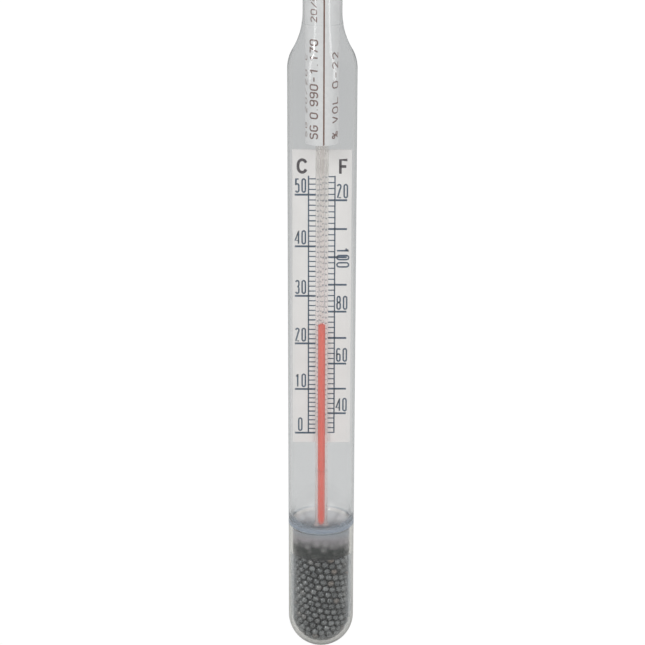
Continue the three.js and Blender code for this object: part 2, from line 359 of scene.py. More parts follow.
def bump(tree, shader, source, distance, strength=1.0):
    node = add_node(tree, "ShaderNodeBump", Strength=strength, Distance=distance)
    tree.links.new(source, node.inputs["Height"])
    tree.links.new(node.outputs["Normal"], shader.inputs["Normal"])


def feed(tree, value, socket):
    """Gives a socket a plain number or another node's output."""
    if isinstance(value, float):
        socket.default_value = value
    else:
        tree.links.new(value, socket)


def combine(tree, operation, first, second):
    """A value worked out from two others."""
    node = add_node(tree, "ShaderNodeMath", operation=operation)
    feed(tree, first, node.inputs[0])
    feed(tree, second, node.inputs[1])
    return node.outputs["Value"]


def share_ramp(tree, source, low, high, start=0.0, end=1.0):
    """A share that goes from low to high as source goes from start to end."""
    return ramp(tree, source, (low,) * 3, (high,) * 3, start, end)


def mix_shaders(tree, share, first, second):
    """Shows first where share is 0 and second where it's 1."""
    node = add_node(tree, "ShaderNodeMixShader")
    feed(tree, share, node.inputs["Fac"])
    feed(tree, first, node.inputs[1])
    feed(tree, second, node.inputs[2])
    return node.outputs["Shader"]


def matt(tree, source, low, high, start=0.3, end=0.7):
    """A matt shader that goes from low to high as source goes from start to end."""
    shader = add_node(tree, "ShaderNodeBsdfDiffuse")
    tree.links.new(ramp(tree, source, low, high, start, end), shader.inputs["Color"])
    return shader.outputs["BSDF"]


def slant(tree):
    """Goes from 0 where a surface is seen square on to 1 at its edge."""
    return add_node(tree, "ShaderNodeLayerWeight").outputs["Facing"]


def glass_material(name, tint, roughness=0.0, ior=1.5, draw_lines=DRAW_LINES, milk=0.0):
    """Clear tinted glass with faint draw lines. Rays from lamps and from matt surfaces pass through.

    Milk is the share of light that the glass scatters back.
    """
    plain = {"Base Color": (*tint, 1), "Roughness": roughness, "IOR": ior}
    material, tree, shader = new_material(name, {**plain, "Transmission Weight": 1.0 - milk})
    bump(tree, shader, noise(tree, 260, 2.0, DRAWN_GRAIN), draw_lines)
    path = add_node(tree, "ShaderNodeLightPath")
    through = combine(tree, "MAXIMUM", path.outputs["Is Shadow Ray"], path.outputs["Is Diffuse Ray"])
    clear = add_node(tree, "ShaderNodeBsdfTransparent")
    surface = mix_shaders(tree, through, shader.outputs["BSDF"], clear.outputs["BSDF"])
    tree.links.new(surface, tree.nodes["Material Output"].inputs["Surface"])
    return material


def slanted_height(tree, lean, low, high):
    """Goes from 0 to 1 between two heights. Lean is how much lower they are a metre further back."""
    coords = add_node(tree, "ShaderNodeTexCoord")
    level = add_node(tree, "ShaderNodeVectorMath", operation="DOT_PRODUCT")
    level.inputs[1].default_value = (SIDE_LEAN, lean, 1)
    fade = add_node(tree, "ShaderNodeMapRange", **{"From Min": low, "From Max": high})
    tree.links.new(coords.outputs["Object"], level.inputs[0])
    tree.links.new(level.outputs["Value"], fade.inputs["Value"])
    return fade.outputs["Result"]


def tint_by(material, source, low, high, start=0.0, end=1.0):
    """Tints a glass from low to high as source goes from start to end."""
    tree = material.node_tree
    shades = ramp(tree, source, low, high, start, end)
    tree.links.new(shades, tree.nodes["Principled BSDF"].inputs["Base Color"])


def lay_over(material, share, coat):
    """Covers a share of a glass with another shader."""
    tree = material.node_tree
    glass = tree.nodes["Principled BSDF"].outputs["BSDF"]
    onward = glass.links[0].to_socket
    tree.links.new(mix_shaders(tree, share, glass, coat), onward)


def graded_glass(name, lean, low, high, low_tint, high_tint, **looks):
    """Glass whose tint changes between two heights. Looks are what glass_material takes."""
    material = glass_material(name, (0.8, 0.8, 0.8), **looks)
    tint_by(material, slanted_height(material.node_tree, lean, low, high), low_tint, high_tint)
    return material


def film_material():
    """A resin film on the chamber's wall, hazy higher up. Lower down its colour paints the shot behind it:
    paler blots are painted blurred glints on the balls, and the dark gaps between them are painted shade.
    Its bluish grey top is painted shade.
    """
    material = glass_material("film_resin", (0.4, 0.4, 0.4), 0.05, 1.3, 0.01 * MM)
    tree = material.node_tree
    height = slanted_height(tree, 0.2, SHOT_HIGH.z - 1 * MM, SEAL_HIGH.z - 1 * MM)
    coords = add_node(tree, "ShaderNodeTexCoord")
    cells = add_node(tree, "ShaderNodeTexVoronoi", feature="SMOOTH_F1", Smoothness=0.35)
    cells.inputs["Scale"].default_value = 1 / SHOT_DIAMETER
    tree.links.new(coords.outputs["Object"], cells.inputs["Vector"])
    distance = cells.outputs["Distance"]
    # Painted glints and shade: pale in the middle of each ball's cell, dark in the gaps between the balls
    painted_ball_shade_and_glints = matt(tree, distance, (0.105, 0.11, 0.105), (0.028, 0.032, 0.032), 0.1, 0.5)
    # The haze, bluish grey at its top, which is painted shade
    cloud = matt(tree, height, (0.325, 0.31, 0.33), (0.33, 0.355, 0.40), 0.7, 0.95)
    level = combine(tree, "SUBTRACT", height, combine(tree, "MULTIPLY", distance, 0.3))
    haze = mix_shaders(tree, share_ramp(tree, level, 0, 1, 0.12, 0.55), painted_ball_shade_and_glints, cloud)
    fade = slanted_height(tree, 0, FILM_Z, FILM_Z + FILM_FADE)
    lay_over(material, share_ramp(tree, fade, 0.3, 0.92), haze)
    return material


def chamber_material():
    """The chamber's wall, where the shot has left it hazy. The haze shows where it's seen aslant."""
    material = glass_material("chamber_glass", (0.99, 0.99, 0.99), 0.04)
    tree = material.node_tree
    share = share_ramp(tree, slant(tree), 0.02, 0, 0.19, 0.31)
    for position, grey in ((0.245, 0.55), (0.27, 0.5)):
        share.node.color_ramp.elements.new(position).color = (grey, grey, grey, 1)
    share = combine(tree, "MULTIPLY", share, slanted_height(tree, 0, 6 * MM, 13 * MM))
    lay_over(material, share, matt(tree, noise(tree, 300), (0.23, 0.26, 0.29), (0.31, 0.34, 0.375)))
    return material


def rim_material():
    """The fused rim of the dish: bluish and cloudy in front, and clear at the back. Its blue cloud in front
    is painted shade.
    """
    front = (-1, RIM_Z - 11 * MM, RIM_Z + 1 * MM)
    # Painted shade: the blue tint and the matt cover grow towards the front
    material = graded_glass("rim_glass", *front, (0.95, 0.96, 0.97), (0.42, 0.47, 0.54), roughness=0.05)
    tree = material.node_tree
    share = share_ramp(tree, slanted_height(tree, *front), 0.04, 0.5)
    lay_over(material, share, matt(tree, noise(tree, 300), (0.39, 0.44, 0.51), (0.45, 0.50, 0.57)))
    return material


def foot_material():
    """The thermometer's lower glass. It's pinkish where it's seen aslant, most of all in the flare."""
    material = glass_material("foot_glass", (0.98, 0.95, 0.94), draw_lines=FINE_DRAW_LINES)
    tree = material.node_tree
    aslant = share_ramp(tree, slant(tree), 0, 1, 0.06, 0.18)
    flare = slanted_height(tree, 0, FOOT_LOW.z + 5 * MM, FOOT_LOW.z + 1.5 * MM)
    share = combine(tree, "MULTIPLY", aslant, share_ramp(tree, flare, 0.15, 0.65))
    lay_over(material, share, matt(tree, noise(tree, 500), (0.64, 0.51, 0.485), (0.70, 0.57, 0.54)))
    return material


def edged_glass(name, tint, middle, edge):
    """Glass that shows more of its own colour where it's seen along its wall."""
    material = glass_material(name, tint)
    tint_by(material, slant(material.node_tree), middle, edge, 0.62, 0.95)
    return material


def mottled_material(name, plain, grain, low, high):
    """A material whose colour wanders between low and high. Grain is what noise takes."""
    material, tree, shader = new_material(name, plain)
    tree.links.new(ramp(tree, noise(tree, *grain), low, high), shader.inputs["Base Color"])
    return material, tree, shader


def seam_material(name, cloud, painted_front_shade=False):
    """The joint inside two pieces of glass that are fused: see-through, and bluish where it's cloudy. When
    its back is kept clear, its cloud shows only in front, and that blue is painted shade.
    """
    blues = (0.34, 0.39, 0.44), (0.42, 0.47, 0.53)
    material, tree, shader = mottled_material(name, {"Roughness": 0.6}, (400, 3.0), *blues)
    clear = add_node(tree, "ShaderNodeBsdfTransparent", Color=(0.97, 0.975, 0.98, 1))
    if painted_front_shade:
        # Painted shade: cloudy in front only, clear at the back
        cloud = combine(tree, "MULTIPLY", slanted_height(tree, -1, RIM_Z, RIM_Z + 5 * MM), cloud)
    surface = mix_shaders(tree, cloud, clear.outputs["BSDF"], shader.outputs["BSDF"])
    tree.links.new(surface, tree.nodes["Material Output"].inputs["Surface"])
    return material


def paper_material(name, low, high, fibre=900, roughness=0.85, detail=6.0):
    material, tree, shader = mottled_material(name, {"Roughness": roughness}, (fibre, detail), low, high)
    bump(tree, shader, noise(tree, fibre * 3, 4.0), 0.005 * MM, 0.4)
    return material


def ink_material(name, low, high):
    return mottled_material(name, {"Roughness": 0.6}, (2500, 3.0), low, high)[0]


def spirit_material():
    plain = {
        "Roughness": 0.08,
        "IOR": 1.36,
        "Transmission Weight": 0.2,
        "Subsurface Weight": 0.35,
        "Subsurface Radius": (0.8 * MM, 0.3 * MM, 0.25 * MM),
        "Subsurface Scale": 1.0,
    }
    reds = (0.92, 0.16, 0.115), (0.95, 0.19, 0.14)
    return mottled_material("red_spirit", plain, (350, 1.0, (1, 1, 0.25)), *reds)[0]


def shot_material():
    """Dull steel balls: each has its own tone, and a few are browned."""
    plain = {"Metallic": 1.0, "Specular Tint": (0.2, 0.21, 0.23, 1)}
    material, tree, shader = new_material("steel_shot", plain)
    tone = add_node(tree, "ShaderNodeAttribute", attribute_name="ball_tone")
    split = add_node(tree, "ShaderNodeSeparateColor")
    tree.links.new(tone.outputs["Color"], split.inputs["Color"])
    steel = ramp(tree, split.outputs["Red"], (0.15, 0.16, 0.17), (0.31, 0.325, 0.34), 0, 1)
    rust = add_node(tree, "ShaderNodeMix", data_type="RGBA")
    rust.inputs["B"].default_value = (0.34, 0.22, 0.15, 1)
    tree.links.new(split.outputs["Green"], rust.inputs["Factor"])
    tree.links.new(steel, rust.inputs["A"])
    tree.links.new(rust.outputs["Result"], shader.inputs["Base Color"])
    rough = add_node(tree, "ShaderNodeMapRange", **{"To Min": 0.2, "To Max": 0.36})
    grain = noise(tree, 1800, 3.0)
    tree.links.new(grain, rough.inputs["Value"])
    tree.links.new(rough.outputs["Result"], shader.inputs["Roughness"])
    bump(tree, shader, grain, 0.02 * MM, 0.4)
    return material


def resin_material(name, color, transmission, roughness):
    plain = {"Roughness": roughness, "IOR": 1.45, "Transmission Weight": transmission}
    low = tuple(0.9 * c for c in color)
    material, tree, shader = mottled_material(name, plain, (420, 4.0), low, color)
    bump(tree, shader, noise(tree, 300, 3.0), 0.03 * MM, 0.6)
    return material


CLEAR_GLASS = glass_material("clear_glass", (0.99, 0.99, 0.99))
FUSED_SEAM = seam_material("fused_seam", 0.05)
# A seam that is cloudy only in front: painted shade
SEAM_HAZE_AND_PAINTED_SHADE = seam_material("seam_haze_and_painted_shade", 0.65, painted_front_shade=True)
# The dish's floor is pale and cloudy. It is paler at the back and greyer towards its middle and its front,
# which is painted light and shade
FLOOR_LIGHT_AND_SHADE = (0.40, 0.43, 0.465), (0.93, 0.90, 0.87)
FLOOR_GLASS = graded_glass(
    "dish_glass", 0.25, RIM_Z - 3.4 * MM, RIM_Z - 0.8 * MM, *FLOOR_LIGHT_AND_SHADE, roughness=0.05, milk=0.4)
# Where the dish meets the body's wall, the glass is clear at its top and grey where it's thick; it's greyer
# in front, which is painted shade
FILLET_TINTS_AND_SHADE = (0.86, 0.89, 0.91), (0.99, 0.99, 0.99)
FILLET_GLASS = graded_glass(
    "fillet_glass", 0.25, RIM_Z - 2.4 * MM, RIM_Z + 1.6 * MM, *FILLET_TINTS_AND_SHADE, roughness=0.25)
# The cloudy back of the thermometer's glass. Its pink lower down is painted light: the red of the spirit in
# the bore in front of it
ENAMEL_TINTS_AND_SPIRIT_LIGHT = (0.87, 0.79, 0.77), (0.74, 0.725, 0.69)
ENAMEL_GLASS = graded_glass(
    "enamel_back", 0, 0.75 * CARD_HIGH.z, 0.9 * CARD_HIGH.z, *ENAMEL_TINTS_AND_SPIRIT_LIGHT,
    draw_lines=FINE_DRAW_LINES, milk=ENAMEL_MILK)
FUSED_GLASS = glass_material("fused_glass", (0.42, 0.475, 0.54), 0.4, milk=0.75)
OUTER_GLASS = edged_glass("envelope_glass", (0.93, 0.94, 0.94), (0.93, 0.94, 0.94), (0.55, 0.6, 0.6))
THICK_GLASS = edged_glass("bulb_glass", (0.87, 0.86, 0.81), (0.9, 0.89, 0.84), (0.34, 0.33, 0.26))
ENVELOPE_GLASS = (OUTER_GLASS, CLEAR_GLASS, FUSED_SEAM, FILLET_GLASS, SEAM_HAZE_AND_PAINTED_SHADE)
BULB_GLASS = (THICK_GLASS, CLEAR_GLASS, FUSED_SEAM, chamber_material())
PARTITION_GLASS = (rim_material(), FUSED_GLASS, FUSED_SEAM, FLOOR_GLASS, SEAM_HAZE_AND_PAINTED_SHADE, CLEAR_GLASS)
PINK_GLASS = glass_material("thermometer_glass", (0.98, 0.95, 0.94), draw_lines=FINE_DRAW_LINES)
THERMOMETER_GLASS = (PINK_GLASS, PINK_GLASS, FUSED_SEAM, ENAMEL_GLASS)
FOOT_GLASS = (foot_material(), *THERMOMETER_GLASS[1:])
ROLL_PAPER = paper_material("scale_paper", (0.72, 0.72, 0.72), (0.78, 0.78, 0.775))
CARD_STOCK = paper_material("card_stock", (0.83, 0.805, 0.785), (0.86, 0.835, 0.815), 250, 0.6, 2.0)
BROWN_INK = ink_material("brown_ink", (0.15, 0.08, 0.065), (0.24, 0.15, 0.13))
RULE_INK = ink_material("rule_ink", (0.11, 0.028, 0.008), (0.18, 0.06, 0.025))
BLUE_INK = ink_material("blue_ink", (0.02, 0.05, 0.095), (0.045, 0.09, 0.15))
DARK_INK = ink_material("dark_ink", (0.045, 0.036, 0.04), (0.085, 0.07, 0.08))
RED_SPIRIT = spirit_material()
STEEL_SHOT = shot_material()
BINDER_RESIN = resin_material("binder_resin", (0.09, 0.095, 0.10), 0.4, 0.3)
FILM_RESIN = film_material()
ADHESIVE = resin_material("adhesive", (0.90, 0.885, 0.86), 0.3, 0.4)


# ---------- glass envelope ----------

def make_stem():
    inner_r = STEM_R - STEM_WALL
    dome_z = STEM_HIGH.z - STEM_R
    start = WELD_Z + FUSE_GAP
    heights = spread(start, WELD_Z + 2 * WELD_WIDTH, 8) + spread(WELD_Z + 3 * WELD_WIDTH, SHOULDER_TOP_Z, 6)
    outside, inside = wall_profile(heights)
    inside = [(0, dome_z + inner_r), *arc(0, dome_z, inner_r, 90, 0)[1:], *inside]
    outside = [*outside, *arc(0, dome_z, STEM_R, 0, 90)[:-1], (0, STEM_HIGH.z)]
    glass = revolve(inside, outside, coats=(INNER, OUTER))
    piece = make_object("stem_glass", glass, ENVELOPE_GLASS, FLOAT, ["stem_tube"])


def make_body():
    start = RIM_Z + FUSE_GAP
    heights = spread(start, SHOULDER_Z, 24) + spread(SHOULDER_Z, WELD_Z - 2 * WELD_WIDTH, 24)[1:]
    heights += spread(WELD_Z - 2 * WELD_WIDTH, WELD_Z, 8)[1:]
    outside, inside = wall_profile(heights)
    fillet = DISH_FLOOR_Z + FILLET_TOP
    inside = [point for point in inside if point[1] > fillet]
    inside += [(dish_radius(z), z) for z in spread(fillet, start, 16)]
    glass = revolve(outside, inside)
    recoat(glass, INNER, DISH, lambda at: at.z < fillet)
    recoat(glass, SEAM, JOINT, lambda at: at.z < fillet)
    piece = make_object("body_glass", glass, ENVELOPE_GLASS, FLOAT, ["body_tube"])


def dish_radius(z):
    """Inner radius at a height in the dish and in the fillet that joins it to the body's wall."""
    below = min(1.0, max(0.0, (DISH_FLOOR_Z + FILLET_TOP - z) / FILLET_TOP))
    return DISH_RIM_R * (1 - below ** DISH_SQUARENESS) ** (1 / DISH_SQUARENESS)


def dish_height(radius):
    """How far the dish has climbed above its floor at a radius."""
    below = (1 - (radius / DISH_RIM_R) ** DISH_SQUARENESS) ** (1 / DISH_SQUARENESS)
    return FILLET_TOP * (1 - below)


def dish_profile(steps=20):
    """(radius, height) points from the dish's rim down to its floor, close together where it's flat."""
    depth = RIM_Z - DISH_FLOOR_Z
    heights = [DISH_FLOOR_Z + depth * (1 - math.cos(t)) for t in spread(0, math.pi / 2, steps)]
    return [(dish_radius(z), z) for z in reversed(heights)]


def make_partition():
    centre_z = DISH_FLOOR_Z + DISH_SPHERE_R
    under_r = BULB_INNER_R - FUSE_GAP
    under_deg = math.degrees(math.asin(under_r / DISH_SPHERE_R))
    flange_z = RIM_Z - FLANGE_HEIGHT
    outer_r = envelope_radius(RIM_Z)
    under = arc(0, centre_z - PARTITION_WALL, DISH_SPHERE_R, -90, under_deg - 90)
    under[0] = (0, DISH_FLOOR_Z - PARTITION_WALL)
    rim = [(outer_r, flange_z), (outer_r, RIM_Z)]
    glass = revolve([*under, (under_r, flange_z)], rim, dish_profile(), coats=(INNER, OUTER, DISH))
    recoat(glass, INNER, UNDER, lambda at: at.xy.length < DISH_CLEAR_R)
    recoat(glass, SEAM, JOINT, lambda at: at.z > flange_z + FUSE_GAP)
    piece = make_object("partition_glass", glass, PARTITION_GLASS, FLOAT, ["ballast_partition"])


def make_bulb():
    top_z = RIM_Z - FLANGE_HEIGHT - FUSE_GAP
    outer_top_r = envelope_radius(RIM_Z)
    outer = arc(0, BULB_R, BULB_R, -90, 0, 24)
    inner = arc(0, BULB_R, BULB_INNER_R, 0, -90, 24)
    outer[0] = (0, 0)
    inner[-1] = (0, BULB_WALL)
    sides = [(BULB_R, z) for z in spread(BULB_R, top_z, 8)[1:-1]]
    inside = [(BULB_INNER_R, z) for z in (top_z, FILM_Z, *reversed(spread(BULB_R, FILM_Z, 6)[1:-1]))]
    glass = revolve([*outer, *sides, (outer_top_r, top_z)], [*inside, *inner])
    recoat(glass, INNER, DISH, lambda at: at.z < FILM_Z)
    piece = make_object("bulb_glass", glass, BULB_GLASS, FLOAT, ["ballast_bulb"])


# ---------- ballast ----------

def hold_in_chamber(points, radii):
    """Moves ball centres back inside the round-bottomed chamber."""
    room = BULB_INNER_R - SHOT_CLEARANCE - radii
    below = np.minimum(points[:, 2] - BULB_R, 0)
    spans = np.sqrt(points[:, 0] ** 2 + points[:, 1] ** 2 + below ** 2)
    shrink = np.minimum(1, room / np.maximum(spans, 1e-9))
    points[:, 0] *= shrink
    points[:, 1] *= shrink
    points[:, 2] += below * (shrink - 1)


def near_pairs(points, radii):
    """Pairs of balls that touch, or that are close enough to touch before the next search."""
    square = (points ** 2).sum(axis=1)
    distance = square[:, None] + square[None, :] - 2 * points @ points.T
    reach = radii[:, None] + radii[None, :] + SETTLE_REACH
    return np.nonzero(np.triu(distance < reach ** 2, 1))


def push_apart(points, radii, first, second):
    gaps = points[first] - points[second]
    distance = np.maximum(1e-9, np.sqrt((gaps ** 2).sum(axis=1)))
    overlap = np.maximum(0, radii[first] + radii[second] - distance)
    push = gaps * (SETTLE_PUSH * overlap / distance)[:, None]
    for axis in range(3):
        away = np.bincount(first, push[:, axis], len(points))
        points[:, axis] += away - np.bincount(second, push[:, axis], len(points))


def settle_shot():
    """Ball centres and radii of the shot, let fall and pressed apart until it lies loosely packed."""
    rng = np.random.default_rng(SHOT_SEED)
    fill = SHOT_HIGH.z - BULB_WALL
    volume = math.pi * BULB_INNER_R ** 2 * (fill - BULB_INNER_R / 3)
    count = int(volume * SHOT_PACKING / (math.pi / 6 * SHOT_DIAMETER ** 3))
    radii = (SHOT_DIAMETER + SHOT_SPREAD * np.clip(rng.normal(size=count), -2, 2)) / 2
    angles = rng.uniform(0, 2 * math.pi, count)
    reach = BULB_INNER_R * np.sqrt(rng.uniform(0, 1, count))
    heights = np.linspace(BULB_WALL, 1.25 * SHOT_HIGH.z, count)
    points = np.stack([reach * np.cos(angles), reach * np.sin(angles), heights], axis=1)
    for step in range(SETTLE_STEPS):
        if step % SETTLE_SEARCH == 0:
            first, second = near_pairs(points, radii)
        pace = min(1, max(0, (SETTLE_STOP - step / SETTLE_STEPS) / SETTLE_SLOWING))
        points[:, 2] -= SETTLE_FALL * pace
        points[:, :2] *= 1 + SETTLE_SPREAD * pace
        for _ in range(SETTLE_PASSES):
            push_apart(points, radii, first, second)
            hold_in_chamber(points, radii)
    level = points[:, 2] + radii < SHOT_HIGH.z + SHOT_PROUD
    return points[level], radii[level], rng


def ball_mesh(subdivisions):
    bm = bmesh.new()
    bmesh.ops.create_icosphere(bm, subdivisions=subdivisions, radius=1)
    bm.verts.ensure_lookup_table()
    verts = np.array([v.co for v in bm.verts])
    faces = np.array([[v.index for v in f.verts] for f in bm.faces])
    bm.free()
    return verts, faces


def make_shot():
    points, radii, rng = settle_shot()
    fine, coarse = ball_mesh(3), ball_mesh(2)
    depth = BULB_INNER_R - np.hypot(points[:, 0], points[:, 1])
    seen = (depth < 1.1 * SHOT_DIAMETER) | (points[:, 2] > SHOT_HIGH.z - 2 * SHOT_DIAMETER)
    seen |= points[:, 2] < BULB_R
    verts, faces, tones, start = [], [], [], 0
    for centre, radius, close in zip(points, radii, seen):
        ball_verts, ball_faces = fine if close else coarse
        tone = (rng.uniform(), RUST_MOST * rng.uniform() ** RUST_RARITY, 0, 1)
        verts.append(ball_verts * radius + centre)
        faces.append(ball_faces + start)
        tones.append(np.tile(tone, (len(ball_verts), 1)))
        start += len(ball_verts)
    mesh = bpy.data.meshes.new("steel_balls")
    mesh.from_pydata(np.concatenate(verts), [], np.concatenate(faces))
    mesh.shade_smooth()
    layer = mesh.color_attributes.new("ball_tone", "FLOAT_COLOR", "POINT")
    layer.data.foreach_set("color", np.concatenate(tones).ravel())
    piece = place_mesh("steel_balls", mesh, STEEL_SHOT, FLOAT, ["steel_shot"])


def make_seal():
    """Resin that fills the gaps between the top balls, and its thin film up the chamber's wall."""
    outer_r = BULB_INNER_R - FUSE_GAP
    top_z = SHOT_HIGH.z - PLUG_DROP
    low_z = top_z - PLUG_DEPTH
    plug_r = outer_r - 0.75 * SHOT_DIAMETER
    top = [(plug_r * t, top_z + PLUG_CLIMB * t ** 3) for t in spread(0, 1, 6)]
    turned = revolve([*top, (plug_r, low_z), (0, low_z)])
    plug = make_object("resin_plug", turned, BINDER_RESIN, FLOAT, ["ballast_seal"])
    film_top = SEAL_HIGH.z
    inner_r = outer_r - FILM_THICKNESS
    tube = [(outer_r, FILM_Z), (outer_r, film_top), (inner_r, film_top - FILM_EDGE), (inner_r, FILM_Z)]
    film = make_object("resin_film", revolve(tube), FILM_RESIN, FLOAT)


# ---------- printing ----------

def bow(cx, cy, rx, ry, start, end, steps=10):
    """Points along an ellipse's arc, in degrees anticlockwise from +x."""
    angles = [math.radians(a) for a in spread(start, end, steps)]
    return [(cx + rx * math.cos(a), cy + ry * math.sin(a)) for a in angles]


def ring(x_low, x_high, y_low, y_high, k):
    """A closed upright oval with straight sides."""
    cx, rx = (x_low + x_high) / 2, (x_high - x_low) / 2
    loop = bow(cx, y_high - k, rx, k, 0, 180) + bow(cx, y_low + k, rx, k, 180, 360)
    return loop + loop[:1]


def strokes_of(char, k):
    """The strokes of one character in a box 1 wide and 1 high. k is the height of a round end."""
    mid = 0.53

    def end(y, start, stop):
        return bow(0.5, y, 0.5, k, start, stop)

    six = end(1 - k, 25, 180) + end(k, 180, 360) + end(mid + 0.05 - k, 0, 180)
    forms = {
        "0": [ring(0, 1, 0, 1, k)],
        "1": [[(0.1, 1 - 1.2 * k), (0.35, 1 - 0.8 * k), (0.6, 1), (0.6, 0)]],
        "2": [end(1 - k, 170, 0) + bow(0.0, 1 - k, 1, 0.25, 0, -35, 5) + [(0, 0), (1, 0)]],
        "3": [end(1 - k, 165, 0) + end(mid + k, 0, -90), end(mid - k, 90, 0) + end(k, 0, -165)],
        "4": [[(0.9, 0), (0.9, 1), (-0.15, 0.25), (1.12, 0.25)]],
        "5": [[(0.95, 1), (0.12, 1), (0.06, mid)], end(mid + 0.1 - k, 150, 0) + end(k, 0, -165)],
        "6": [six],
        "7": [[(0, 1), (1, 1), (0.3, 0)]],
        "8": [ring(0.06, 0.94, mid, 1, k), ring(0, 1, 0, mid, k)],
        "9": [[(1 - x, 1 - y) for x, y in six]],
        "C": [end(1 - k, 25, 180) + end(k, 180, 335)],
        "F": [[(0, 0), (0, 1), (1, 1)], [(0, mid), (0.85, mid)]],
        "S": [end(1 - k, 20, 180) + end(mid + k, 180, 270) + end(mid - k, 90, 0)[1:] + end(k, 0, -160)],
        "G": [end(1 - k, 20, 180) + end(k, 180, 360) + [(1, 0.45), (0.5, 0.45)]],
        "%": [ring(0, 0.42, 0.6, 1, 0.12), ring(0.58, 1, 0, 0.4, 0.12), [(0.1, 0), (0.9, 1)]],
        "V": [[(0, 1), (0.5, 0), (1, 1)]],
        "O": [ring(0, 1, 0, 1, 0.35)],
        "L": [[(0, 1), (0, 0), (1, 0)]],
        "/": [[(0, 0), (1, 1)]],
        "-": [[(0.1, 0.45), (0.9, 0.45)]],
        ".": [[(0.5, 0), (0.5, 0.07)]],
        " ": [],
    }
    return forms[char]


class Print:
    """Ink on one surface. Each line is a closed bar of ink in the surface's own (across, up) lengths."""

    def __init__(self, to_surface, step):
        self.bm = bmesh.new()
        self.to_surface = to_surface
        self.step = step

    def line(self, path, width):
        points = self.fill_in(path)
        rows = []
        for i, (x, y) in enumerate(points):
            ax, ay = points[max(0, i - 1)]
            bx, by = points[min(len(points) - 1, i + 1)]
            size = math.hypot(bx - ax, by - ay) or 1
            nx, ny = (ay - by) / size, (bx - ax) / size
            cx, cy = (bx - x, by - y) if i == 0 else (x - ax, y - ay)
            bend = abs((bx - ax) * cx + (by - ay) * cy) / (size * (math.hypot(cx, cy) or 1))
            half = width / 2 / max(bend, 0.7)
            left, right = (x + nx * half, y + ny * half), (x - nx * half, y - ny * half)
            corners = [(left, INK_GAP), (left, INK_THICKNESS), (right, INK_THICKNESS), (right, INK_GAP)]
            rows.append([self.bm.verts.new(self.to_surface(*at, lift)) for at, lift in corners])
        skin(self.bm, rows)
        self.bm.faces.new(rows[0])
        self.bm.faces.new(rows[-1])

    def fill_in(self, path):
        """Adds points so that no piece of the line is longer than the surface's step."""
        points = [path[0]]
        for (ax, ay), (bx, by) in zip(path, path[1:]):
            length = math.hypot(bx - ax, by - ay)
            if length < 1e-6:
                continue
            parts = max(1, math.ceil(length / self.step))
            for k in range(1, parts + 1):
                points.append((ax + (bx - ax) * k / parts, ay + (by - ay) * k / parts))
        return points

    def text(self, words, x, y, width, height, gap, weight, turn=0, round_end=0.24):
        """Writes from (x, y), turned anticlockwise by quarter turns."""
        k = min(round_end, 0.62 * width / height)
        pen = 0.0
        cos, sin = math.cos(turn * math.pi / 2), math.sin(turn * math.pi / 2)
        for char in words:
            wide = width * (0.4 if char in ". " else 1)
            for stroke in strokes_of(char, k):
                local = [(pen + wide * u, height * v) for u, v in stroke]
                self.line([(x + a * cos - b * sin, y + a * sin + b * cos) for a, b in local], weight)
            pen += wide + gap

    def finish(self, name, material, body):
        piece = make_object(name, self.bm, material, body)


# ---------- rolled scale ----------

def make_roll():
    """One sheet rolled into a tube. Its two ends overlap at the back."""
    bm = bmesh.new()
    outer_r = ROLL_HIGH.x
    steps = 120
    total = math.radians(360 + ROLL_OVERLAP_DEG)
    start = math.radians(90 - ROLL_OVERLAP_DEG / 2)
    heights = spread(ROLL_LOW.z, ROLL_HIGH.z, 12)
    columns = []
    for k in range(steps + 1):
        angle = total * k / steps
        radius = outer_r - ROLL_PITCH * angle / (2 * math.pi)
        x, y = math.cos(start + angle), math.sin(start + angle)
        outside = [bm.verts.new((radius * x, radius * y, z)) for z in heights]
        inner = radius - PAPER_THICKNESS
        inside = [bm.verts.new((inner * x, inner * y, z)) for z in reversed(heights)]
        columns.append(outside + inside)
    skin(bm, columns)
    for column in (columns[0], columns[-1]):
        bm.faces.new(column)
    piece = make_object("rolled_scale", bm, ROLL_PAPER, FLOAT, ["scale_roll"])


RULE_X = 0.47 * MM               # the printed rule stands a little to the right of the front
MARK_WEIGHT = 0.16 * MM
NUMBER_HEIGHT = 1.5 * MM
WATER_DENSITY = 999.04           # kilograms in a cubic metre of cool water
ALCOHOL_FACTOR = 131.25          # per cent of alcohol for each whole unit of gravity that fermenting takes


def roll_surface(x, y, lift):
    """A point on the roll: x runs round it from the front, and y is the height."""
    angle = x / ROLL_HIGH.x
    turned = math.radians(180 + ROLL_OVERLAP_DEG / 2) + angle
    radius = ROLL_HIGH.x - ROLL_PITCH * turned / (2 * math.pi) + lift
    return (radius * math.sin(angle), -radius * math.cos(angle), y)


